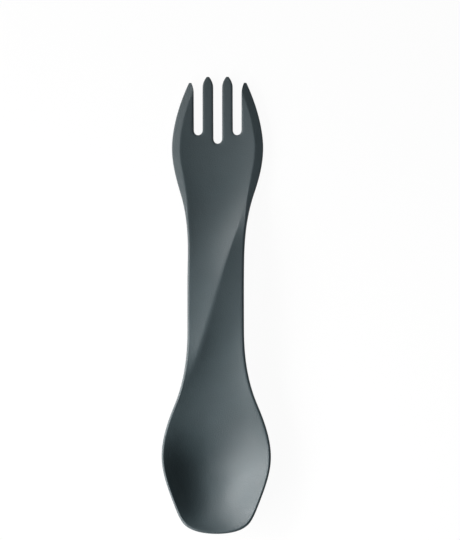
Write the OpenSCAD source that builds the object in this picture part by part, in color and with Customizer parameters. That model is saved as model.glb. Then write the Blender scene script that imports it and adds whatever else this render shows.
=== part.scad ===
// Spork: a spoon and a four-tined fork on one flat handle, made as one moulding.
// It lies on its back. X runs across, Y runs along towards the fork, Z rises out of the spoon.
// The origin is on the table, half way along and half way across.
// The nodes are zones of the moulding. Each zone meets the next face to face on a flat plane.

/* [Overall] */
// Length from the lip of the spoon to the tips of the inner tines
overall_l = 156; // [152:1:162]

/* [Spoon] */
// Width of the spoon at its widest place
spoon_w = 37.3; // [34:0.1:40]
// Length of the spoon zone, from the lip to the handle zone
spoon_l = 62; // [58:1:66]
// From the lip to the widest place
lip_to_widest = 26.2; // [24:0.2:29]
// Width that the sides of the spoon run down to at the lip
lip_w = 22.1; // [19:0.1:25]
// Length over which the lip is rounded off
lip_l = 15.4; // [13:0.1:18]
// From the widest place to the straight sides of the handle
spoon_shoulder_l = 43.7; // [40:0.1:48]
// Depth of the bowl below its rim
bowl_depth = 7.5; // [6:0.25:10]
// From the middle line to the deepest line of the bowl, towards the left
bowl_shift = 3; // [0:0.1:4]
// From the lip to the deepest place of the bowl
lip_to_deepest = 18.5; // [17:0.5:24]
// Reach of the slope from the deepest place up to the neck
bowl_ramp_l = 14; // [12:0.5:17]
// Wall under the bowl
bowl_wall = 1.8; // [1.4:0.1:2.6]
// Width of the bevel round the rim and along the handle
rim_w = 0.65; // [0.6:0.05:1.2]
// Drop of that bevel from its inner edge to the outline
rim_drop = 0.3; // [0.2:0.05:0.5]
// Height of the rim from its inner edge to the edge of the back
rim_wall = 1.3; // [1:0.05:1.8]
// Rise of the lip above the rest of the rim
lip_lift = 0.6; // [0:0.1:1.5]

/* [Handle] */
// Width of the handle between its straight sides
handle_w = 19.2; // [17:0.1:22]
// Height of the ridge above the table, half way along the handle
handle_top = 13.2; // [11:0.2:16]
// Thickness of the handle below its channels
handle_wall = 2.6; // [2.2:0.1:3.6]
// Height from the ridge to the edge of the back
handle_edge = 2.7; // [2.4:0.1:3.4]
// Height of the diagonal ridge above the channels on its two sides
ridge_h = 1.1; // [0.5:0.1:1.3]
// From the lip to the place where the ridge crosses the middle line
lip_to_ridge = 80.9; // [79:0.1:84]
// Length over which the ridge runs from edge to edge
ridge_l = 74; // [66:1:80]
// Length of the ridge at its full height
ridge_full_l = 36; // [28:1:42]
// Length over which each end of the ridge runs out into the hollow beside it
ridge_fade_l = 13; // [9:0.5:15]

/* [Fork] */
// Width of the fork at its widest place
fork_w = 31.3; // [29:0.05:33]
// Length of the fork zone, from the tips to the handle zone
fork_l = 52; // [49:1:55]
// From the inner tips to the widest place
tips_to_widest = 24.5; // [23:0.1:26]
// From the widest place to the straight sides of the handle
fork_shoulder_l = 38.2; // [35:0.1:42]
// Width across the tips of the outer tines
fork_tip_w = 19.7; // [19:0.1:21]
// Width of an inner tine
tine_w = 3.6; // [3.2:0.1:3.7]
// Width of a slot between tines
slot_w = 3.1; // [2.8:0.1:3.2]
// Length of the middle slot below the inner tips
middle_slot_l = 22.9; // [21.6:0.1:24]
// Length of the two side slots below the inner tips
side_slot_l = 20; // [18:0.1:21.4]
// Length of the pointed end of a tine
point_l = 3.6; // [3:0.1:5]
// Width left at the very tip of a tine
tip_w = 0.8; // [0.4:0.1:1]
// Distance by which the outer tips fall short of the inner tips
tine_setback = 2.05; // [1:0.05:3]
// Width of the broad bevel along the sides of the fork
fork_bevel_w = 2.8; // [2.2:0.1:3.2]
// Drop of that bevel from its inner edge to the outline
fork_bevel_drop = 0.7; // [0.6:0.05:1.2]
// Depth of the shallow dish across the fork
fork_dish = 1.2; // [0.5:0.05:1.4]
// Depth of the channels where the handle meets the spoon and the fork
neck_dip = 1.5; // [0.9:0.05:1.7]
// Depth of the dish at the tips of the tines
tip_dish = 0.3; // [0:0.05:0.6]
// Thickness of the fork
fork_wall = 2.4; // [2:0.1:3.2]
// Thickness of the tines at their tips
tine_wall = 1.6; // [1.3:0.1:2.2]
// Height from the inner edge of the bevel to the edge of the back, along the fork
fork_edge = 2.3; // [2.1:0.05:2.8]
// The same height at the tips
tine_edge = 1.85; // [1.7:0.05:2.2]
// Rise of the tips above the belly of the fork, below zero where they droop
tine_lift = -1; // [-1:0.25:8]
// From the inner tips to the flat belly under the fork
tips_to_belly = 26; // [24:0.5:28]
// Length of the flat belly
belly_l = 6; // [4:0.5:8]
// Width of the flat belly
belly_w = 12; // [8:0.5:16]

/* [Hidden] */

// Colour of the plastic
plastic = "#354144";
// Overrun of every cut
cut_over = 1;
$fn = 48;

// Places along the part, all measured from the lip
fork_start = overall_l - fork_l;
handle_mid = (spoon_l + fork_start) / 2;
spoon_neck = lip_to_widest + spoon_shoulder_l;
fork_widest = overall_l - tips_to_widest;
fork_neck = fork_widest - fork_shoulder_l;
belly_end = overall_l - tips_to_belly;
belly_start = belly_end - belly_l;
middle_slot_end = overall_l - middle_slot_l;
side_slot_end = overall_l - side_slot_l;
tine_root = side_slot_end + slot_w / 2;
outer_tip = overall_l - tine_setback;

// Heights of the rim of the spoon and of the bevel's inner edge at the belly
rim_z = bowl_depth + bowl_wall;
belly_z = fork_dish + fork_wall;

// Places across the fork
inner_tine_x = (slot_w + tine_w) / 2;
side_slot_x = slot_w + tine_w;
outer_tine_x = side_slot_x + slot_w / 2;

// Shape of the curves, as shares and powers
lip_power = 7.8;
side_curve_share = 2.14;
shoulder_mid_share = 0.405;
shoulder_steep_share = 2.05;
fork_taper_power = 1.8;
bowl_ramp_power = 2.2;
bowl_round_share = 0.68;
lip_corner_share = 0.2;
lip_corner = lip_l * lip_corner_share;

// How finely the surfaces are divided
half_cols = 11;
spoon_rows = 34;
handle_rows = 22;
neck_rows = 12;
belly_rows = 3;
palm_rows = 5;
tine_cols = 8;
tine_rows = 8;
point_rows = 6;

function lerp(a, b, t) = a + (b - a) * t;
function clamp(v, low, high) = max(low, min(high, v));
function ease(t) = t * t * (3 - 2 * t);

// A value that glides from point to point of a list of [place, value]
function glide(p, s, i = 0) =
    i == len(p) - 1 || s <= p[i][0] ? p[i][1]
    : s < p[i + 1][0]
    ? lerp(p[i][1], p[i + 1][1], ease((s - p[i][0]) / (p[i + 1][0] - p[i][0])))
    : glide(p, s, i + 1);

// A shoulder that falls from 1 to 0, through one half at its middle share
function shoulder_top(u) =
    1 - (3 * u * u - 2 * u * u * u) / 2
    + shoulder_steep_share * shoulder_mid_share * (u * u - u * u * u);
function shoulder_foot(u) =
    (2 * u * u * u - 3 * u * u + 1) / 2
    - shoulder_steep_share * (1 - shoulder_mid_share) * (u * u * u - 2 * u * u + u);
function shoulder(t) =
    t < shoulder_mid_share
    ? shoulder_top(max(0, t) / shoulder_mid_share)
    : shoulder_foot((min(1, t) - shoulder_mid_share) / (1 - shoulder_mid_share));

// Half width of the plan, before the lip is rounded off
function spoon_side(t) =
    spoon_w / 2 - (spoon_w - lip_w) / 2 * t * t * (side_curve_share - (side_curve_share - 1) * t);
function side_half(s) =
    s < lip_to_widest ? spoon_side(1 - s / lip_to_widest)
    : s < spoon_neck
    ? lerp(handle_w, spoon_w, shoulder((s - lip_to_widest) / spoon_shoulder_l)) / 2
    : s < fork_neck ? handle_w / 2
    : s < fork_widest
    ? lerp(handle_w, fork_w, shoulder((fork_widest - s) / fork_shoulder_l)) / 2
    : lerp(fork_w, fork_tip_w, pow((s - fork_widest) / (outer_tip - fork_widest), fork_taper_power)) / 2;
function lip_round(s) =
    s <= 0 ? 0 : s >= lip_l ? 1 : sqrt(1 - pow(1 - s / lip_l, lip_power));

// The bevel along the edges, narrow on spoon and handle and broad on the fork
function bevel_w(s) = glide([[fork_start, rim_w], [belly_start, fork_bevel_w]], s);
function bevel_drop(s) = glide([[fork_start, rim_drop], [belly_start, fork_bevel_drop]], s);
function outline_half(s) = side_half(s) * lip_round(s);
function crest_half(s) = (side_half(s) - bevel_w(s)) * lip_round(s - rim_w);

// Height of the bevel's inner edge along the part, seen from the side
function tine_share(s) = (s - belly_end) / (overall_l - belly_end);
function lip_share(s) = 1 - s / lip_to_deepest;
function crest_z(s) =
    s < lip_to_deepest ? rim_z + lip_lift * lip_share(s) * lip_share(s)
    : s > belly_end ? belly_z + tine_lift * tine_share(s) * tine_share(s)
    : glide([[lip_to_deepest, rim_z], [handle_mid, handle_top], [belly_start, belly_z]], s);

// Depth of the spoon's channel and of the fork's channel
function ramp(s) = exp(-pow((s - lip_to_deepest) / bowl_ramp_l, bowl_ramp_power));
function wall_share(s) = 1 - (s - rim_w) / (lip_to_deepest - rim_w);
function bowl_dip(s) =
    s <= rim_w ? 0
    : s < lip_to_deepest ? bowl_depth * (1 - wall_share(s) * wall_share(s))
    : lerp(glide([[spoon_l, neck_dip], [handle_mid, ridge_h]], s), bowl_depth, ramp(s));
function fork_dip(s) =
    glide([[handle_mid, ridge_h], [fork_start, neck_dip], [belly_start, fork_dish],
           [belly_end, fork_dish], [overall_l, tip_dish]], s);

// The ridge crosses the handle from the left edge by the spoon to the right edge by the fork
function ridge_run(s) = clamp((s - lip_to_ridge) * 2 / ridge_l, -1, 1);
function ridge_share(s) = ridge_run(s) * (5 - pow(ridge_run(s), 4)) / 4;
// Its ends run out: 0 where it is full, 1 where its narrow side goes on as the hollow beside it
function ridge_fade(s) =
    ease(clamp((abs(s - lip_to_ridge) - ridge_full_l / 2) / ridge_fade_l, 0, 1));

// Rise across a trough, from 0 in its middle to 1 at its edge: round at first, then straight
function trough(u, round_share) =
    u < round_share ? u * u / (round_share * (2 - round_share))
    : (2 * u - round_share) / (2 - round_share);
function round_share(s) = glide([[lip_to_deepest, bowl_round_share], [spoon_l, 1]], s);

// The deepest line of the bowl lies left of the middle, and comes back to it at the neck
function shift_share(s) =
    glide([[lip_to_deepest, bowl_shift / crest_half(lip_to_deepest)], [spoon_l, 0]], s);
// Distance from the deepest line, as a share of the way to the edge on that side
function off_deepest(u, shift) = abs(u + shift) / (u + shift < 0 ? 1 - shift : 1 + shift);

// The front between the bevels, where u is the distance from the ridge as a share of the half width
function hollow(u, shift, s) = 1 - trough(off_deepest(u, shift), round_share(s));
function channel_z(x, s) =
    let (half = crest_half(s),
         u = half > 0 ? x / half - ridge_share(s) : 0,
         spoon_side_dip = bowl_dip(s) * hollow(u - 1, shift_share(s), s),
         fork_side_dip = fork_dip(s) * hollow(u + 1, 0, s),
         narrow = (u >= 0) == (s > lip_to_ridge),
         fade = narrow ? ridge_fade(s) : 0)
    crest_z(s) - (u >= 0 ? lerp(spoon_side_dip, fork_side_dip, fade)
                         : lerp(fork_side_dip, spoon_side_dip, fade));

// How far down the bevel a place is: 0 at its inner edge, 1 on the outline
function bevel_share(x, s) =
    abs(x) <= crest_half(s) ? 0
    : clamp((abs(x) - crest_half(s)) / (outline_half(s) - crest_half(s)), 0, 1);

// The front of the moulding, from a place [across, along, share of the bevel]
function front_z(p) =
    channel_z(clamp(p[0], -crest_half(p[1]), crest_half(p[1])), p[1]) - bevel_drop(p[1]) * p[2];

// The back of the moulding
function wall(s) =
    glide([[0, rim_wall], [lip_to_deepest, bowl_wall], [handle_mid, handle_wall],
           [belly_start, fork_wall], [belly_end, fork_wall], [overall_l, tine_wall]], s);
function edge(s) =
    glide([[lip_to_deepest, rim_wall], [handle_mid, handle_edge], [belly_start, fork_edge],
           [belly_end, fork_edge], [overall_l, tine_edge]], s);
function back_flat(s) = glide([[handle_mid, 0], [belly_start, belly_w / 2]], s);
function back_dip(s) = (s < handle_mid ? bowl_dip(s) : fork_dip(s)) + wall(s) - edge(s);
function back_share(x, s) =
    let (flat_share = back_flat(s) / outline_half(s),
         share = off_deepest(x / outline_half(s), shift_share(s)))
    max(0, share - flat_share) / (1 - flat_share);
function back_z(p) =
    outline_half(p[1]) <= 0 ? crest_z(p[1]) - edge(p[1])
    : crest_z(p[1]) - edge(p[1])
      - back_dip(p[1]) * (1 - trough(back_share(p[0], p[1]), round_share(p[1])));

// A solid between the front and the back over a grid of places
module moulding(grid) {
    rows = len(grid);
    cols = len(grid[0]);
    size = rows * cols;
    points = concat(
        [for (row = grid) for (p = row) [p[0], p[1] - overall_l / 2, front_z(p)]],
        [for (row = grid) for (p = row) [p[0], p[1] - overall_l / 2, back_z(p)]]);
    front = [for (r = [0 : rows - 2]) for (c = [0 : cols - 2]) let (a = r * cols + c)
        each [[a, a + cols, a + cols + 1], [a, a + cols + 1, a + 1]]];
    back = [for (f = front) [f[2] + size, f[1] + size, f[0] + size]];
    border = concat(
        [for (c = [0 : 1 : cols - 2]) c],
        [for (r = [0 : 1 : rows - 2]) r * cols + cols - 1],
        [for (c = [cols - 1 : -1 : 1]) (rows - 1) * cols + c],
        [for (r = [rows - 1 : -1 : 1]) r * cols]);
    sides = [for (i = [0 : len(border) - 1])
        let (a = border[i], b = border[(i + 1) % len(border)])
        each [[a, b, b + size], [a, b + size, a + size]]];
    polyhedron(points, concat(front, back, sides));
}

// Where the middle line of the grid runs: along the ridge on the handle
function middle_share(s) =
    ridge_share(s) * ease(clamp((s - lip_to_deepest) / (spoon_l - lip_to_deepest), 0, 1))
    * (1 - ease(clamp((s - fork_start) / (belly_start - fork_start), 0, 1)));
function across(k, s) =
    crest_half(s) * (k < 0 ? lerp(middle_share(s), -1, -k) : lerp(middle_share(s), 1, k));
col_shares = [for (i = [-half_cols : half_cols]) i / half_cols];

// A straight row of places from outline to outline
function plain_row(s) = concat(
    [[-outline_half(s), s, 1]],
    [for (k = col_shares) [across(k, s), s, 0]],
    [[outline_half(s), s, 1]]);
function plain_grid(from, to, rows) = [for (i = [0 : rows]) plain_row(lerp(from, to, i / rows))];

// Rows of the spoon bend round its lip
function lip_col(k) =
    sign(k) * crest_half(rim_w + lip_corner * k * k) / crest_half(rim_w + lip_corner);
lip_side = lip_corner + rim_w / 2;
lip_row = concat(
    [[-outline_half(lip_side), lip_side, 1]],
    [for (k = col_shares) [sign(k) * outline_half(lip_corner * k * k), lip_corner * k * k, 1]],
    [[outline_half(lip_side), lip_side, 1]]);
function spoon_row(t) =
    let (low = lerp(rim_w, spoon_l, t), high = lerp(rim_w + lip_corner, spoon_l, t))
    concat(
        [[-outline_half(high), high, 1]],
        [for (k = col_shares) [across(lerp(lip_col(k), k, t), high), lerp(low, high, k * k), 0]],
        [[outline_half(high), high, 1]]);
spoon_grid = concat([lip_row], [for (i = [0 : spoon_rows]) spoon_row(i / spoon_rows)]);

module spoon_bowl() {
    color(plastic) moulding(spoon_grid);
}

module handle() {
    color(plastic) moulding(plain_grid(spoon_l, fork_start, handle_rows));
}

// A slot with a round end
module slot(x, slot_end) {
    translate([x, slot_end + slot_w / 2 - overall_l / 2, -cut_over]) {
        cylinder(d = slot_w, h = handle_top + cut_over);
        translate([-slot_w / 2, 0, 0])
            cube([slot_w, tine_root - slot_end + cut_over, handle_top + cut_over]);
    }
}

// Rows of the fork keep to the ends of its flat belly
fork_grid = concat(
    plain_grid(fork_start, belly_start, neck_rows),
    [for (i = [1 : belly_rows]) plain_row(lerp(belly_start, belly_end, i / belly_rows))],
    [for (i = [1 : palm_rows]) plain_row(lerp(belly_end, tine_root, i / palm_rows))]);

module fork_head() {
    color(plastic) difference() {
        moulding(fork_grid);
        slot(0, middle_slot_end);
        slot(-side_slot_x, side_slot_end);
        slot(side_slot_x, side_slot_end);
    }
}

// Rows along a tine, closer together in its pointed end
function tine_places(tip) = concat(
    [for (i = [0 : tine_rows - 1]) lerp(tine_root, tip - point_l, i / tine_rows)],
    [for (i = [0 : point_rows]) lerp(tip - point_l, tip, i / point_rows)]);
function point_share(s, tip) = pow(max(0, 1 - (tip - s) / point_l), 2);
function place(x, s) = [x, s, bevel_share(x, s)];

// An inner tine comes to a point from both sides
function inner_half(s) = lerp(tine_w, tip_w, point_share(s, overall_l)) / 2;
function inner_row(s) =
    [for (i = [0 : tine_cols]) place(inner_tine_x + inner_half(s) * (2 * i / tine_cols - 1), s)];
inner_grid = [for (s = tine_places(overall_l)) inner_row(s)];

// An outer tine follows the outline and comes to a point from its slot
function outer_in(s) =
    lerp(outer_tine_x, outline_half(outer_tip) - tip_w, point_share(s, outer_tip));
function outer_crest(s) =
    clamp(crest_half(s), lerp(outer_in(s), outline_half(s), tine_crest_share),
          lerp(outline_half(s), outer_in(s), tine_crest_share));
tine_crest_share = 0.2;
function outer_row(s) = concat(
    [for (i = [0 : tine_cols / 2 - 1])
        place(lerp(outer_in(s), outer_crest(s), 2 * i / tine_cols), s)],
    [for (i = [0 : tine_cols / 2])
        place(lerp(outer_crest(s), outline_half(s), 2 * i / tine_cols), s)]);
outer_grid = [for (s = tine_places(outer_tip)) outer_row(s)];

// The same grid on the left
function mirrored(grid) =
    [for (row = grid) [for (i = [len(row) - 1 : -1 : 0]) [-row[i][0], row[i][1], row[i][2]]]];

module inner_tine_right() {
    color(plastic) moulding(inner_grid);
}

module inner_tine_left() {
    color(plastic) moulding(mirrored(inner_grid));
}

module outer_tine_right() {
    color(plastic) moulding(outer_grid);
}

module outer_tine_left() {
    color(plastic) moulding(mirrored(outer_grid));
}

spoon_bowl();
handle();
fork_head();
outer_tine_left();
inner_tine_left();
inner_tine_right();
outer_tine_right();
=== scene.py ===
# %% [markdown]
# # A moulded spork
# A spork is a spoon and a fork on one handle. This one is a single moulding in slate grey nylon: plastic
# is pressed into one cavity, so nothing on it is joined and no seam runs across it.
# The imported part comes first. It is a fixed frame: it says how long and how wide everything is, and the
# moulding is modelled to those sizes.

import math

import bpy
from mathutils import Euler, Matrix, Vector


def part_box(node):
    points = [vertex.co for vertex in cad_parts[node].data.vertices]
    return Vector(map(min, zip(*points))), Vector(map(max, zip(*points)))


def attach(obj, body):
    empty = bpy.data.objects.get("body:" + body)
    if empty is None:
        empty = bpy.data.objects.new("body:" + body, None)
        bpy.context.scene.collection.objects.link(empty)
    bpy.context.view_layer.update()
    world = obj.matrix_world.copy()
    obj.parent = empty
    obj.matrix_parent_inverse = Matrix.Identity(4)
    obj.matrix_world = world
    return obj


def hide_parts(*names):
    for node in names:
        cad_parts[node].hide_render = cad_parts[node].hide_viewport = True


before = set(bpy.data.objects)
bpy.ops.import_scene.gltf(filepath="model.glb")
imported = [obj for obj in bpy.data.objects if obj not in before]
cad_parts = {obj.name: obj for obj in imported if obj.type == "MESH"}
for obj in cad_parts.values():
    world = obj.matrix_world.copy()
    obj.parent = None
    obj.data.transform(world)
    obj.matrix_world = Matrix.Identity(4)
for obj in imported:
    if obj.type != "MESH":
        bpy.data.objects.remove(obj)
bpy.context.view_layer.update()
print("packed nodes:", sorted(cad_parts))

# %% [markdown]
# ## Sizes
# Every place along the spork is told as its distance from the lip of the spoon, and every place across it
# as its distance from the middle line. The nodes of the frame give the sizes that they share with the
# moulding. The rest are sizes of the moulding's own surface, in metres.

# %% Read the shared sizes off the frame
spoon_low, spoon_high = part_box("spoon_bowl")
fork_low, fork_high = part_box("fork_head")
inner_low, inner_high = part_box("inner_tine_right")
outer_low, outer_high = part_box("outer_tine_right")

lip_y = spoon_low.y
overall_length = inner_high.y - lip_y
spoon_end = spoon_high.y - lip_y
fork_start = fork_low.y - lip_y
tine_root = fork_high.y - lip_y
outer_tip = outer_high.y - lip_y
handle_middle = (spoon_end + fork_start) / 2

spoon_width = spoon_high.x - spoon_low.x
handle_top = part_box("handle")[1].z
slot_radius = inner_low.x
inner_tine_width = inner_high.x - inner_low.x
inner_tine_x = slot_radius + inner_tine_width / 2
side_slot_x = inner_high.x + slot_radius
outer_tine_x = outer_low.x
print("length", round(overall_length, 4), "spoon width", round(spoon_width, 4))
print("tine root", round(tine_root, 4), "slot radius", round(slot_radius, 5))

# %% Name the sizes of the surface
lip_to_widest = 0.0262
lip_width = 0.0221
lip_length = 0.0154
spoon_shoulder_length = 0.0437
bowl_depth = 0.0075
bowl_shift = 0.0030
lip_to_deepest = 0.0185
bowl_ramp_length = 0.0140
bowl_wall = 0.0018
rim_width = 0.00065
rim_drop = 0.00030
rim_wall = 0.0013
lip_lift = 0.0006
handle_width = 0.0192
handle_wall = 0.0026
handle_edge = 0.0027
ridge_height = 0.0009
lip_to_ridge = 0.0809
ridge_length = 0.0740
ridge_full_length = 0.0300
ridge_fade_length = 0.0180
ridge_spoon_rounding = 0.0010
ridge_fork_rounding = 0.0002
fork_width = 0.0313
tips_to_widest = 0.0245
fork_shoulder_length = 0.0382
fork_tip_width = 0.0197
middle_slot_length = 0.0229
point_length = 0.0036
tip_width = 0.0008
fork_bevel_width = 0.0028
fork_bevel_drop = 0.00070
fork_dish = 0.0014
spoon_neck_dip = 0.0015
fork_neck_dip = 0.0016
tip_dish = 0.0003
fork_wall = 0.0024
tine_wall = 0.0016
fork_edge = 0.0023
tine_edge = 0.00185
tine_lift = -0.0010
tips_to_belly = 0.0260
belly_length = 0.0060
belly_width = 0.0120

spoon_neck = lip_to_widest + spoon_shoulder_length
fork_widest = overall_length - tips_to_widest
fork_neck = fork_widest - fork_shoulder_length
belly_end = overall_length - tips_to_belly
belly_start = belly_end - belly_length
middle_slot_centre = overall_length - middle_slot_length + slot_radius
rim_height = bowl_depth + bowl_wall
belly_height = fork_dish + fork_wall
print("bowl depth", bowl_depth, "rim height", round(rim_height, 5), "belly", round(belly_height, 5))

# %% [markdown]
# ## The outline
# Seen from above, the spork has no corner but the two at the lip: the sides swell to the spoon, run down
# in a long shoulder to the straight handle and swell again to the fork. A curve object could trace that,
# but the same sizes also have to place the bevel inside it, so the outline is a few short functions.
# Each gives half the width at a distance along.

# %% Draw the outline with functions
lip_power = 7.8
side_curve_share = 2.14
shoulder_middle_share = 0.405
shoulder_steep_share = 2.05
fork_taper_power = 1.8


def between(a, b, share):
    return a + (b - a) * share


def keep_in(value, low, high):
    return max(low, min(high, value))


def ease(share):
    return share * share * (3 - 2 * share)


def glide(places, along):
    """A value that eases from one (place, value) pair to the next."""
    for (start, low), (end, high) in zip(places, places[1:]):
        if along <= start:
            return low
        if along < end:
            return between(low, high, ease((along - start) / (end - start)))
    return places[-1][1]


def shoulder(share):
    """Falls from 1 to 0, through one half at its middle."""
    if share < shoulder_middle_share:
        u = max(0, share) / shoulder_middle_share
        lift = shoulder_steep_share * shoulder_middle_share * (u**2 - u**3)
        return 1 - (3 * u**2 - 2 * u**3) / 2 + lift
    u = (min(1, share) - shoulder_middle_share) / (1 - shoulder_middle_share)
    sink = shoulder_steep_share * (1 - shoulder_middle_share) * (u**3 - 2 * u**2 + u)
    return (2 * u**3 - 3 * u**2 + 1) / 2 - sink


def side_half(along):
    """Half width before the lip is rounded off."""
    if along < lip_to_widest:
        share = 1 - along / lip_to_widest
        curve = share**2 * (side_curve_share - (side_curve_share - 1) * share)
        return spoon_width / 2 - (spoon_width - lip_width) / 2 * curve
    if along < spoon_neck:
        share = shoulder((along - lip_to_widest) / spoon_shoulder_length)
        return between(handle_width, spoon_width, share) / 2
    if along < fork_neck:
        return handle_width / 2
    if along < fork_widest:
        share = shoulder((fork_widest - along) / fork_shoulder_length)
        return between(handle_width, fork_width, share) / 2
    share = keep_in((along - fork_widest) / (outer_tip - fork_widest), 0, 1)
    return between(fork_width, fork_tip_width, share**fork_taper_power) / 2


def lip_round(along):
    if along <= 0:
        return 0
    if along >= lip_length:
        return 1
    return math.sqrt(1 - (1 - along / lip_length) ** lip_power)


def bevel_width(along):
    return glide([(fork_start, rim_width), (belly_start, fork_bevel_width)], along)


def bevel_drop(along):
    return glide([(fork_start, rim_drop), (belly_start, fork_bevel_drop)], along)


def inset_half(along, inset):
    """Half width of the spoon's outline drawn in by an inset."""
    return (side_half(along) - inset) * lip_round(along - inset)


def outline_half(along):
    return inset_half(along, 0)


def crest_half(along):
    """Half width at the crest, the inner edge of the bevel."""
    return (side_half(along) - bevel_width(along)) * lip_round(along - rim_width)


for name, along in (("spoon", lip_to_widest), ("handle", handle_middle), ("fork", fork_widest)):
    print(name, "is", round(2000 * outline_half(along), 2), "mm wide")

# %% [markdown]
# ## The front and the back
# The spoon is a hollow below its rim, and the fork is a shallow dish between two broad bevels. Both
# hollows run on along the handle as channels, side by side, and the ridge between them crosses the handle
# from the left edge by the spoon to the right edge by the fork. It is crisp by the fork and softer by the
# spoon. The spoon's channel comes from the right, and its deepest line goes on a little past the middle of
# the bowl to the left. The back follows at the thickness of the wall and has a flat belly under the fork,
# which the spork rests on.

# %% Give the front its height
bowl_ramp_power = 2.2
bowl_round_share = 0.68


def crest_height(along):
    """Height of the crest above the table, seen from the side."""
    if along < lip_to_deepest:
        return rim_height + lip_lift * (1 - along / lip_to_deepest) ** 2
    if along > belly_end:
        return belly_height + tine_lift * ((along - belly_end) / (overall_length - belly_end)) ** 2
    places = [(lip_to_deepest, rim_height), (handle_middle, handle_top), (belly_start, belly_height)]
    return glide(places, along)


def bowl_dip(along):
    """Depth of the spoon's hollow and of the channel that it runs out into."""
    if along <= rim_width:
        return 0
    if along < lip_to_deepest:
        share = 1 - (along - rim_width) / (lip_to_deepest - rim_width)
        return bowl_depth * (1 - share**2)
    ramp = math.exp(-(((along - lip_to_deepest) / bowl_ramp_length) ** bowl_ramp_power))
    channel = glide([(spoon_end, spoon_neck_dip), (handle_middle, ridge_height)], along)
    return between(channel, bowl_depth, ramp)


def fork_dip(along):
    """Depth of the fork's dish and of its channel."""
    places = [(handle_middle, ridge_height), (fork_start, fork_neck_dip), (belly_start, fork_dish),
              (belly_end, fork_dish), (overall_length, tip_dish)]
    return glide(places, along)


def ridge_share(along):
    """Place of the ridge across the handle, from -1 on the left crest to 1 on the right one."""
    run = keep_in((along - lip_to_ridge) * 2 / ridge_length, -1, 1)
    return run * (5 - run**4) / 4


def trough(share, round_share):
    """Rise across a trough, from 0 in its middle to 1 at its edge: round at first, then straight."""
    if share < round_share:
        return share**2 / (round_share * (2 - round_share))
    return (2 * share - round_share) / (2 - round_share)


def round_share(along):
    """How much of a trough is round: two thirds of the bowl, and all of a channel."""
    return glide([(lip_to_deepest, bowl_round_share), (spoon_end, 1)], along)


def shift_share(along):
    """How far the bowl's deepest line lies to the left of the middle, as a share of the half width."""
    return glide([(lip_to_deepest, bowl_shift / crest_half(lip_to_deepest)), (spoon_end, 0)], along)


def off_deepest(share, shift):
    """Distance from the deepest line, as a share of the way to the edge on that side."""
    return abs(share + shift) / (1 - shift if share + shift < 0 else 1 + shift)


def ridge_fade(along):
    """0 where the ridge is full, and 1 where it has run out into the hollow beside it."""
    past_full = abs(along - lip_to_ridge) - ridge_full_length / 2
    return ease(keep_in(past_full / ridge_fade_length, 0, 1))


def channel_height(across, along):
    """Height between the two crests, with the top of the ridge rounded off."""
    half = crest_half(along)
    if half <= 0:
        return crest_height(along)
    from_ridge = across - half * ridge_share(along)
    rounded = round_share(along)
    from_deepest = off_deepest(from_ridge / half - 1, shift_share(along))
    spoon_side = bowl_dip(along) * (1 - trough(from_deepest, rounded))
    fork_side = fork_dip(along) * (1 - trough(abs(from_ridge / half + 1), rounded))
    own, other = (spoon_side, fork_side) if from_ridge >= 0 else (fork_side, spoon_side)
    # Where a channel gets narrow beside the ridge, it runs out into the hollow on the other side.
    narrow = (from_ridge >= 0) == (along > lip_to_ridge)
    fade = ridge_fade(along)
    steep = (bowl_dip(along) + fork_dip(along)) / half * (1 - fade)
    radius = glide([(spoon_end, ridge_spoon_rounding), (fork_start, ridge_fork_rounding)], along)
    rounding = steep * max(0, radius - abs(from_ridge)) ** 2 / (2 * radius)
    return crest_height(along) - between(own, other, fade if narrow else 0) - rounding


def front_height(across, along, down_bevel):
    """Height of the front, where down_bevel is 0 on the crest and 1 on the outline."""
    half = crest_half(along)
    return channel_height(keep_in(across, -half, half), along) - bevel_drop(along) * down_bevel


print("bowl floor at", round(1000 * front_height(0, lip_to_deepest, 0), 2), "mm")
print("ridge at", round(1000 * front_height(0, handle_middle, 0), 2), "mm")

# %% Give the back its height


def wall(along):
    places = [(0, rim_wall), (lip_to_deepest, bowl_wall), (handle_middle, handle_wall),
              (belly_start, fork_wall), (belly_end, fork_wall), (overall_length, tine_wall)]
    return glide(places, along)


def edge(along):
    """Height from the crest down to the edge of the back."""
    places = [(lip_to_deepest, rim_wall), (handle_middle, handle_edge), (belly_start, fork_edge),
              (belly_end, fork_edge), (overall_length, tine_edge)]
    return glide(places, along)


def back_height(across, along):
    rim = crest_height(along) - edge(along)
    half = outline_half(along)
    if half <= 0:
        return rim
    flat = glide([(handle_middle, 0), (belly_start, belly_width / 2)], along) / half
    dip = bowl_dip(along) if along < handle_middle else fork_dip(along)
    share = max(0, off_deepest(across / half, shift_share(along)) - flat) / (1 - flat)
    return rim - (dip + wall(along) - edge(along)) * (1 - trough(share, round_share(along)))


print("wall under the bowl", round(1000 * (front_height(0, lip_to_deepest, 0)
                                           - back_height(0, lip_to_deepest)), 2), "mm")

# %% [markdown]
# ## Rows and columns
# The moulding starts as one flat sheet of squares, like the blank of a pressed spoon. Its columns are
# chosen so that the edges of the tines, the crests and the outline each fall on a line of the sheet, and
# its rows so that the slots end on one. An extra line close beside each of them holds the edge crisp when
# the mesh is smoothed later.

# %% Choose the columns and the rows
hold = 0.00035
most_hold_share = 0.25
slot_cells = 3
tine_cells = 5
outer_cells = 5
bevel_cells = 4
row_step = 0.00125

slot_edge = slot_cells
tine_edge_column = slot_edge + tine_cells
outer_edge = tine_edge_column + 2 * slot_cells
crest_column = outer_edge + outer_cells
outline_column = crest_column + bevel_cells


def spread(a, b, cells):
    """Places from a to b with a holding line close to each end."""
    near = min(hold / abs(b - a), most_hold_share)
    shares = [0] + [between(near, 1 - near, i / (cells - 2)) for i in range(cells - 1)] + [1]
    return [between(a, b, share) for share in shares]


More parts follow.
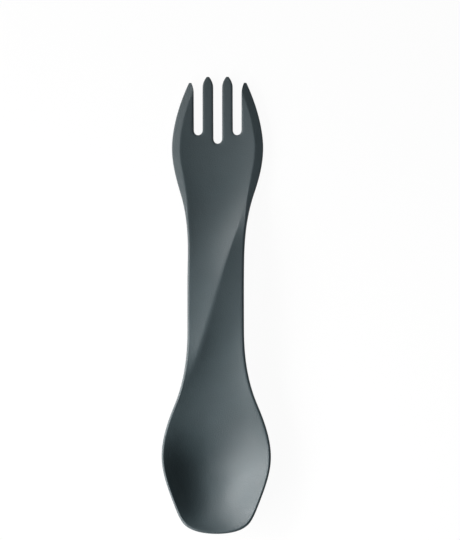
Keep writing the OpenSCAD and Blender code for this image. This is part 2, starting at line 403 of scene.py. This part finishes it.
def steps(a, b, step):
    """Even places from a to b, without a."""
    count = max(1, round((b - a) / step))
    return [between(a, b, (i + 1) / count) for i in range(count)]


middle_slot_end = middle_slot_centre - slot_radius
side_slot_end = tine_root - slot_radius
ring_rows = bevel_cells
spoon_rows = [rim_width + hold] + steps(rim_width + hold, spoon_end, row_step)
palm_rows = steps(spoon_end, fork_start, row_step)
palm_rows += steps(fork_start, middle_slot_end - hold, row_step)
palm_rows += [middle_slot_end] + steps(middle_slot_end, middle_slot_centre, slot_radius / 2)
palm_rows += [side_slot_end - hold, side_slot_end] + steps(side_slot_end, tine_root, slot_radius / 2)
tine_rows = steps(tine_root, overall_length - point_length, row_step)
tine_rows += steps(overall_length - point_length, overall_length - hold, row_step / 2) + [overall_length]
row_places = [rim_width] + spoon_rows + palm_rows + tine_rows
last_row = ring_rows + len(row_places) - 1
middle_slot_row = ring_rows + row_places.index(middle_slot_end)
side_slot_row = ring_rows + row_places.index(side_slot_end)
print("columns", 2 * outline_column + 1, "rows", last_row + 1)

# %% [markdown]
# ## The blank
# A grid primitive gives the sheet. The three slots are cut by deleting their faces, and extruding the
# whole sheet three times makes it a slab: the two middle steps leave lines along the wall, close to the
# front and to the back, which hold those edges as well. At this stage every vertex stands on whole
# numbers, which tell its column, its row and its layer.

# %% Make the flat blank
layer_count = 3
layer_slack = 0.25
bpy.ops.object.select_all(action="DESELECT")
bpy.ops.mesh.primitive_grid_add(x_subdivisions=2 * outline_column, y_subdivisions=last_row, size=2)
spork = bpy.context.object
spork.name = "spork_moulding"
spork.data.name = "spork_moulding"
bpy.ops.object.mode_set(mode="EDIT")
bpy.ops.mesh.select_all(action="SELECT")
bpy.ops.transform.resize(value=(outline_column, last_row / 2, 1))
bpy.ops.transform.translate(value=(0, last_row / 2, 0))
bpy.ops.mesh.select_all(action="DESELECT")
bpy.ops.object.mode_set(mode="OBJECT")


def in_slot(column, row):
    if abs(column) < slot_edge:
        return row > middle_slot_row
    return tine_edge_column < abs(column) < outer_edge and row > side_slot_row


bpy.context.tool_settings.mesh_select_mode = (False, False, True)
for face in spork.data.polygons:
    face.select = in_slot(face.center.x, face.center.y)
bpy.ops.object.mode_set(mode="EDIT")
bpy.ops.mesh.delete(type="FACE")
for _ in range(layer_count):
    bpy.ops.mesh.select_all(action="DESELECT")
    bpy.ops.object.mode_set(mode="OBJECT")
    top = max(v.co.z for v in spork.data.vertices)
    for face in spork.data.polygons:
        face.select = top - face.center.z < layer_slack
    bpy.ops.object.mode_set(mode="EDIT")
    bpy.ops.mesh.extrude_region_move(TRANSFORM_OT_translate={"value": (0, 0, 1)})
bpy.ops.mesh.select_all(action="SELECT")
bpy.ops.mesh.normals_make_consistent(inside=False)
bpy.ops.object.mode_set(mode="OBJECT")
print("blank:", len(spork.data.vertices), "vertices,", len(spork.data.polygons), "faces")

# %% [markdown]
# ## From the blank to the plan
# Now each column and row goes to its place. On the handle the middle column follows the ridge, in the
# palm the columns line up with the tines, and round the lip the rows bend into rings that follow it. A
# slot was cut square, so its end is rounded by carrying the square to a disc, less and less further out.

# %% Work out the place of each vertex in plan
lip_corner_share = 0.2
tine_side_share = 0.2
round_reach = 2.1
lip_corner = lip_length * lip_corner_share
palm_start = (belly_start + belly_end) / 2


def ring_inset(level):
    """How far a ring of the spoon's rim lies inside the outline."""
    return spread(0, rim_width, bevel_cells)[level]


def middle_share(along):
    """Where the middle column runs, as a share of the crest."""
    coming = ease(keep_in((along - lip_to_deepest) / (spoon_end - lip_to_deepest), 0, 1))
    going = 1 - ease(keep_in((along - fork_start) / (belly_start - fork_start), 0, 1))
    return ridge_share(along) * coming * going


def palm_places(along):
    """Places of the columns from the middle to the outline where they line up with the tines."""
    tine = spread(slot_radius, slot_radius + inner_tine_width, tine_cells)
    middle_slot = [slot_radius * i / slot_cells for i in range(slot_cells)]
    side_slot = [between(tine[-1], outer_tine_x, i / (2 * slot_cells)) for i in range(1, 2 * slot_cells)]
    return middle_slot + tine + side_slot + spread(outer_tine_x, crest_half(along), outer_cells)


def crossing(column, along):
    """How far out a column lies between the crests, as a share of the crest's half width."""
    share = abs(column) / crest_column
    lined = ease(keep_in((along - fork_start) / (palm_start - fork_start), 0, 1))
    if lined > 0:
        share = between(share, palm_places(along)[abs(column)] / crest_half(along), lined)
    return share


def round_slot_end(x, along, slot_x, slot_centre):
    """Carries the square end of a slot to a half disc, and what is round it a little of the way."""
    u = (x - slot_x) / slot_radius
    v = (slot_centre - along) / slot_radius
    size = max(abs(u), abs(v))
    if v <= 0 or size == 0 or size >= round_reach:
        return x, along
    scale = max(size, 1)
    disc_u = u * math.sqrt(1 - (v / scale) ** 2 / 2)
    disc_v = v * math.sqrt(1 - (u / scale) ** 2 / 2)
    share = 1 - ease((scale - 1) / (round_reach - 1))
    return (slot_x + slot_radius * between(u, disc_u, share),
            slot_centre - slot_radius * between(v, disc_v, share))


def lip_share(share):
    """Spreads the columns along the lip as the lip's own curve does."""
    return inset_half(rim_width + lip_corner * share**2, rim_width) / inset_half(
        rim_width + lip_corner, rim_width)


def ring_place(column, row):
    """A place on the rings of the rim round the lip: across, along, share of the bevel."""
    outer = outline_column - abs(column)
    lip_half = lip_width / 2
    if outer < row:
        along = lip_corner + ring_inset(row)
        level = outer
        x = inset_half(along, ring_inset(level))
    else:
        level = row
        turned = ring_inset(min(outer, bevel_cells)) - ring_inset(level)
        share = (1 - turned / lip_half) * min(1, abs(column) / crest_column)
        along = ring_inset(level) + lip_corner * share**2
        x = inset_half(along, ring_inset(level))
    return math.copysign(x, column), along, 1 - ring_inset(level) / rim_width


def outer_tine_places(along):
    """Places of the columns of an outer tine, from its inner side to the outline."""
    point = max(0, 1 - (outer_tip - along) / point_length) ** 2
    inner_side = between(outer_tine_x, outline_half(outer_tip) - tip_width, point)
    outer_side = outline_half(along)
    crest = keep_in(crest_half(along), between(inner_side, outer_side, tine_side_share),
                    between(outer_side, inner_side, tine_side_share))
    return spread(inner_side, crest, outer_cells) + spread(crest, outer_side, bevel_cells)[1:]


def bevel_share(x, along):
    """How far down the bevel a place lies: 0 on the crest and 1 on the outline."""
    inner = crest_half(along)
    outer = outline_half(along)
    return keep_in((abs(x) - inner) / (outer - inner), 0, 1)


def tine_place(column, along):
    """A place on one of the four tines."""
    if abs(column) <= tine_edge_column:
        point = max(0, 1 - (overall_length - along) / point_length) ** 2
        half = between(inner_tine_width, tip_width, point) / 2
        x = between(inner_tine_x - half, inner_tine_x + half,
                    (palm_places(tine_root)[abs(column)] - slot_radius) / inner_tine_width)
    else:
        along = between(tine_root, outer_tip, (along - tine_root) / (overall_length - tine_root))
        x = outer_tine_places(along)[abs(column) - outer_edge]
    return math.copysign(x, column), along, bevel_share(x, along)


def plan(column, row):
    """Across, along and share of the bevel for a vertex of the blank."""
    if row <= ring_rows:
        return ring_place(column, row)
    along = row_places[row - ring_rows]
    if along > tine_root:
        return tine_place(column, along)
    done = keep_in((along - rim_width) / (spoon_end - rim_width), 0, 1)
    edge_along = along + lip_corner * (1 - done)
    if abs(column) > crest_column:
        level = abs(column) - crest_column
        shares = spread(0, bevel_width(edge_along), bevel_cells)
        down = shares[level] / bevel_width(edge_along)
        if edge_along < spoon_end:
            x = inset_half(edge_along, rim_width * (1 - down))
        else:
            x = between(crest_half(edge_along), outline_half(edge_along), down)
        return math.copysign(x, column), edge_along, down
    share = crossing(column, edge_along)
    bent = between(lip_share(share), share, done)
    side = 1 if column >= 0 else -1
    x = crest_half(edge_along) * between(middle_share(edge_along), side, bent)
    along = between(along, edge_along, share**2)
    for slot_x, centre in ((0, middle_slot_centre), (side_slot_x, tine_root), (-side_slot_x, tine_root)):
        x, along = round_slot_end(x, along, slot_x, centre)
    return x, along, 0


for column, row in ((0, 0), (outline_column, 0), (slot_edge, middle_slot_row), (slot_edge, last_row)):
    print("column", column, "row", row, [round(1000 * v, 2) for v in plan(column, row)[:2]])

# %% [markdown]
# ## Giving the blank its shape
# The places are all known, so each vertex is carried there: the front layer up to the front, the back
# layer to the back and the two layers of the wall in between. A Subdivision Surface then smooths the
# mesh. The holding lines keep its edges as crisp as those of a real moulding, which are rounded by a
# third of a millimetre.

# %% Carry each vertex to its place
slot_edge_drop = 0.00020
wall_hold_share = 0.3


def slot_rounding(column, row):
    """How far the front is rounded down on the edge of a slot or a tip."""
    by_middle = abs(column) <= slot_edge and row >= middle_slot_row
    by_side = tine_edge_column <= abs(column) <= outer_edge and row >= side_slot_row
    return slot_edge_drop if by_middle or by_side or row == last_row else 0


for vertex in spork.data.vertices:
    column, row, layer = (round(v) for v in vertex.co)
    x, along, down = plan(column, row)
    front = front_height(x, along, down) - slot_rounding(column, row)
    back = back_height(x, along)
    near = min(hold, (front - back) * wall_hold_share)
    height = (back, back + near, front - near, front)[layer]
    vertex.co = (x, along + lip_y, height)
spork.data.update()
print("shaped blank in mm:", [round(1000 * v, 2) for v in spork.dimensions])

# %% Smooth the moulding
smooth = spork.modifiers.new("smooth", "SUBSURF")
smooth.levels = 1
smooth.render_levels = 1
bpy.ops.object.select_all(action="DESELECT")
spork.select_set(True)
bpy.context.view_layer.objects.active = spork
bpy.ops.object.modifier_apply(modifier=smooth.name)
bpy.ops.object.shade_smooth()
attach(spork, "root")
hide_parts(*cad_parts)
triangles = sum(len(face.vertices) - 2 for face in spork.data.polygons)
print("moulding:", len(spork.data.polygons), "faces,", triangles, "triangles")

# %% [markdown]
# ## The nylon
# Travel cutlery is often moulded in nylon, which is tough and bears hot food. The steel of the cavity is
# blasted with fine grit, and the plastic takes that on: the surface is satin, with a broad soft highlight
# and a grain that shows only close up.

# %% Make the nylon
def linear(hex_colour):
    """A colour written as sRGB hex, as the linear values that a shader takes."""
    parts = [int(hex_colour[i:i + 2], 16) / 255 for i in (1, 3, 5)]
    return [p / 12.92 if p <= 0.04045 else ((p + 0.055) / 1.055) ** 2.4 for p in parts] + [1]


def add_node(tree, kind, inputs=None, **settings):
    """Adds a node, sets it up and links or sets its inputs."""
    node = tree.nodes.new(kind)
    for name, value in settings.items():
        setattr(node, name, value)
    for name, value in (inputs or {}).items():
        if isinstance(value, bpy.types.NodeSocket):
            tree.links.new(value, node.inputs[name])
        else:
            node.inputs[name].default_value = value
    return node


def new_material(name):
    material = bpy.data.materials.new(name)
    material.use_nodes = True
    material.node_tree.nodes.clear()
    return material, material.node_tree


# The colour doesn't mix in quite evenly while the plastic flows, which leaves faint clouds.
cloud_size = 0.006
darker_grey = "#333e42"
lighter_grey = "#374448"
least_roughness = 0.43
most_roughness = 0.49
nylon_ior = 1.53
# The blasted steel leaves a grain of about 0.08 mm, 0.012 mm deep. A pixel of the picture covers four
# times that width, so the grain is drawn five times as large both ways, or it wouldn't show at all.
grain_size = 0.00008
grain_depth = 0.000012
grain_coarseness = 5

nylon, tree = new_material("slate_grey_nylon")
place = add_node(tree, "ShaderNodeTexCoord").outputs["Object"]
clouds = add_node(tree, "ShaderNodeTexNoise", {"Vector": place, "Scale": 1 / cloud_size, "Detail": 3})
# A colour mix takes its factor on input 0 and the two colours on 6 and 7, and gives the result on output 2.
colour = add_node(tree, "ShaderNodeMix", {
    0: clouds.outputs["Fac"], 6: linear(darker_grey), 7: linear(lighter_grey)}, data_type="RGBA")
gloss = add_node(tree, "ShaderNodeMapRange", {
    "Value": clouds.outputs["Fac"], "To Min": least_roughness, "To Max": most_roughness})
grain = add_node(tree, "ShaderNodeTexNoise", {
    "Vector": place, "Scale": 1 / (grain_size * grain_coarseness), "Detail": 2})
bump = add_node(tree, "ShaderNodeBump", {
    "Height": grain.outputs["Fac"], "Distance": grain_depth * grain_coarseness})
shader = add_node(tree, "ShaderNodeBsdfPrincipled", {
    "Base Color": colour.outputs[2], "Roughness": gloss.outputs[0], "IOR": nylon_ior,
    "Normal": bump.outputs["Normal"]})
add_node(tree, "ShaderNodeOutputMaterial", {"Surface": shader.outputs["BSDF"]})
spork.data.materials.clear()
spork.data.materials.append(nylon)
print("material:", nylon.name, "with a grain drawn at", 1000 * grain_size * grain_coarseness, "mm")

# %% [markdown]
# ## Floor, light and camera
# The spork lies on white. The camera sees the floor mostly as plain white, with a share of its real
# shading left in, so that the spork keeps its shadow. A large soft key lamp stands low on the left and a
# smaller one beside the spoon. Two weak ones fill in from overhead and from beyond the fork. The wall of the
# bowl that faces the key is the brightest place, and a satin wall needs more light there than the rest may
# have. So a row of three soft spots is aimed at the bowl, and their light fades out along the handle. The
# world stays dark: a bright one would lay a veil of sheen over every surface.

# %% Lay the floor
floor_size = 60
floor_shade_share = 0.05
floor_gap = 0.0001
bpy.ops.object.select_all(action="DESELECT")
bpy.ops.mesh.primitive_plane_add(size=floor_size, location=(0, 0, -floor_gap))
floor = bpy.context.object
floor.name = "floor"
white, tree = new_material("white_floor")
paper = add_node(tree, "ShaderNodeBsdfDiffuse", {"Color": linear("#f4f4f4")})
plain = add_node(tree, "ShaderNodeEmission", {"Color": (1, 1, 1, 1), "Strength": 1})
rays = add_node(tree, "ShaderNodeLightPath")
mirrored = add_node(tree, "ShaderNodeMath", {
    0: rays.outputs["Is Glossy Ray"], 1: rays.outputs["Is Transmission Ray"]}, operation="MAXIMUM")
seen = add_node(tree, "ShaderNodeMath", {
    0: rays.outputs["Is Camera Ray"], 1: mirrored.outputs[0]}, operation="MAXIMUM")
share = add_node(tree, "ShaderNodeMath", {0: seen.outputs[0], 1: 1 - floor_shade_share},
                 operation="MULTIPLY")
mixed = add_node(tree, "ShaderNodeMixShader", {0: share.outputs[0], 1: paper.outputs[0],
                                               2: plain.outputs[0]})
add_node(tree, "ShaderNodeOutputMaterial", {"Surface": mixed.outputs[0]})
floor.data.materials.append(white)
print("floor", floor_size, "m across")

# %% Set the soft lamps
def add_lamp(kind, name, target, turn, lift, far, power):
    """A lamp that faces a target, at a turn from +X towards +Y and a lift above the floor, in degrees."""
    turn, lift = math.radians(turn), math.radians(lift)
    way = Vector((math.cos(turn) * math.cos(lift), math.sin(turn) * math.cos(lift), math.sin(lift)))
    bpy.ops.object.select_all(action="DESELECT")
    bpy.ops.object.light_add(type=kind, location=Vector(target) + far * way)
    lamp = bpy.context.object
    lamp.name = name
    lamp.data.energy = power
    lamp.rotation_euler = way.to_track_quat("Z", "Y").to_euler()
    lamp.visible_camera = False
    return lamp


middle = (0, 0, 0.005)
# Each has a name, a turn, a lift, a distance, a size and a power.
soft_lamps = [("key_lamp", 175, 30, 0.85, 0.6, 4.0), ("spoon_lamp", 219, 30, 0.42, 0.3, 1.8),
              ("overhead_lamp", 180, 88, 0.9, 0.8, 1.0), ("fork_fill", 90, 35, 0.9, 0.6, 1.0)]
for name, turn, lift, far, size, power in soft_lamps:
    lamp = add_lamp("AREA", name, middle, turn, lift, far, power)
    lamp.data.shape = "SQUARE"
    lamp.data.size = size
print("soft lamps:", [lamp[0] for lamp in soft_lamps])

# %% Set the spots on the bowl
bowl_middle = (0, -0.052, 0.006)
spot_distance = 0.6
spot_cone = 18
spot_radius = 0.09
# Each has a turn, a lift and a power.
bowl_spots = [(125, 26, 9.9), (150, 33, 12), (175, 27, 8.6)]
for turn, lift, power in bowl_spots:
    spot = add_lamp("SPOT", f"bowl_spot_{turn}", bowl_middle, turn, lift, spot_distance, power)
    spot.data.spot_size = math.radians(spot_cone)
    spot.data.spot_blend = 1
    spot.data.shadow_soft_size = spot_radius

# %% Set the world
world = bpy.context.scene.world or bpy.data.worlds.new("studio")
bpy.context.scene.world = world
world.use_nodes = True
world.node_tree.nodes.clear()
dark = add_node(world.node_tree, "ShaderNodeBackground", {"Color": (1, 1, 1, 1), "Strength": 0})
add_node(world.node_tree, "ShaderNodeOutputWorld", {"Surface": dark.outputs[0]})
bpy.context.scene.view_settings.view_transform = "Standard"
print("world:", world.name)

# %% Place the camera
image_height = 540
pixel_size = 0.00034061
lens = 200
sensor = 36
view_lean = 3.9
view_x = 0.00465
view_y = 0.0118
mean_height = 0.0080
distance = pixel_size * image_height * lens / sensor

tilt = Euler((0, math.radians(view_lean), 0))
away = tilt.to_matrix() @ Vector((0, 0, distance))
bpy.ops.object.camera_add(location=Vector((view_x, view_y, mean_height)) + away, rotation=tilt)
camera = bpy.context.object
camera.name = "camera"
camera.data.lens = lens
camera.data.sensor_width = sensor
camera.data.sensor_fit = "AUTO"
bpy.context.scene.camera = camera
print("camera", round(distance, 3), "m above the spork")
